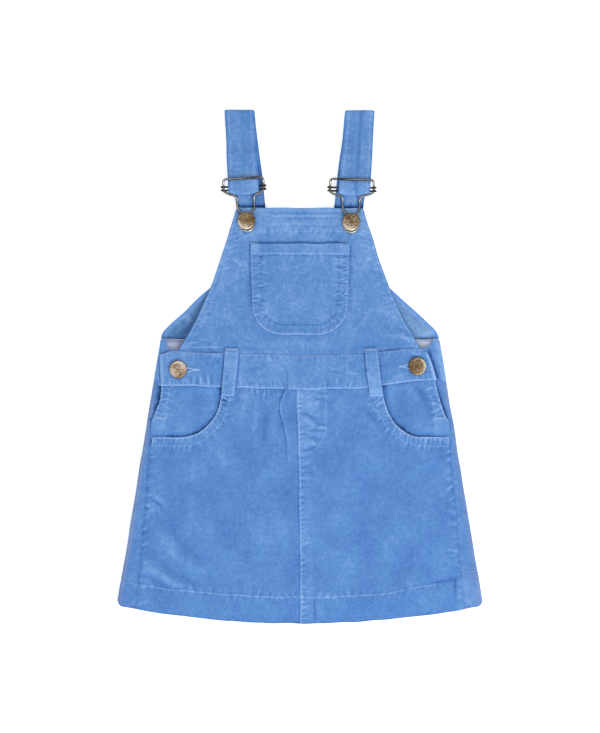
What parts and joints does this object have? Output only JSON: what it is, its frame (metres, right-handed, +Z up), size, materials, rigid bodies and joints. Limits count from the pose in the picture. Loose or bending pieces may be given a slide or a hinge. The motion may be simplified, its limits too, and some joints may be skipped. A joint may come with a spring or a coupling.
{
  "type": "pinafore dress",
  "caption": "Child's corduroy pinafore dress with a bib, patch pocket, curved side pockets and buckled straps, laid flat on its back.",
  "frame": {"origin": "on the surface that the dress lies on, under the middle of its length and width", "axes": "+X to the wearer's left, which is the right of the front as seen, +Y from the hem to the straps, +Z up out of the front"},
  "size_m": [0.3512, 0.4931, 0.0111],
  "materials": {
    "corduroy": "fine needlecord, washed, light blue",
    "corduroy_reverse": "plain wrong side of the corduroy, darker blue",
    "cotton_lining": "plain woven cotton, lavender grey",
    "thread": "polyester sewing thread, pale blue",
    "antique_brass": "antique brass plate, rubbed bright on its edges",
    "buckle_wire": "round steel wire with dark bronze plate"
  },
  "bodies": {
    "root": {"back_bodice": "corduroy_reverse", "back_skirt": "corduroy", "back_waistband": "corduroy", "back_waistband_lining": "cotton_lining", "belt_loop_left": "corduroy", "belt_loop_right": "corduroy", "bib": "corduroy", "bib_button_left": "antique_brass", "bib_button_right": "antique_brass", "bib_pocket": "corduroy", "buckle_frame_left": "buckle_wire", "buckle_frame_right": "buckle_wire", "buckle_slide_left": "buckle_wire", "buckle_slide_right": "buckle_wire", "front_skirt_left": "corduroy", "front_skirt_right": "corduroy", "front_waistband": "corduroy", "pocket_bearer_left": "corduroy", "pocket_bearer_right": "corduroy", "strap_left": "corduroy", "strap_right": "corduroy", "waist_button_left": "antique_brass", "waist_button_right": "antique_brass"}
  },
  "joints": []
}
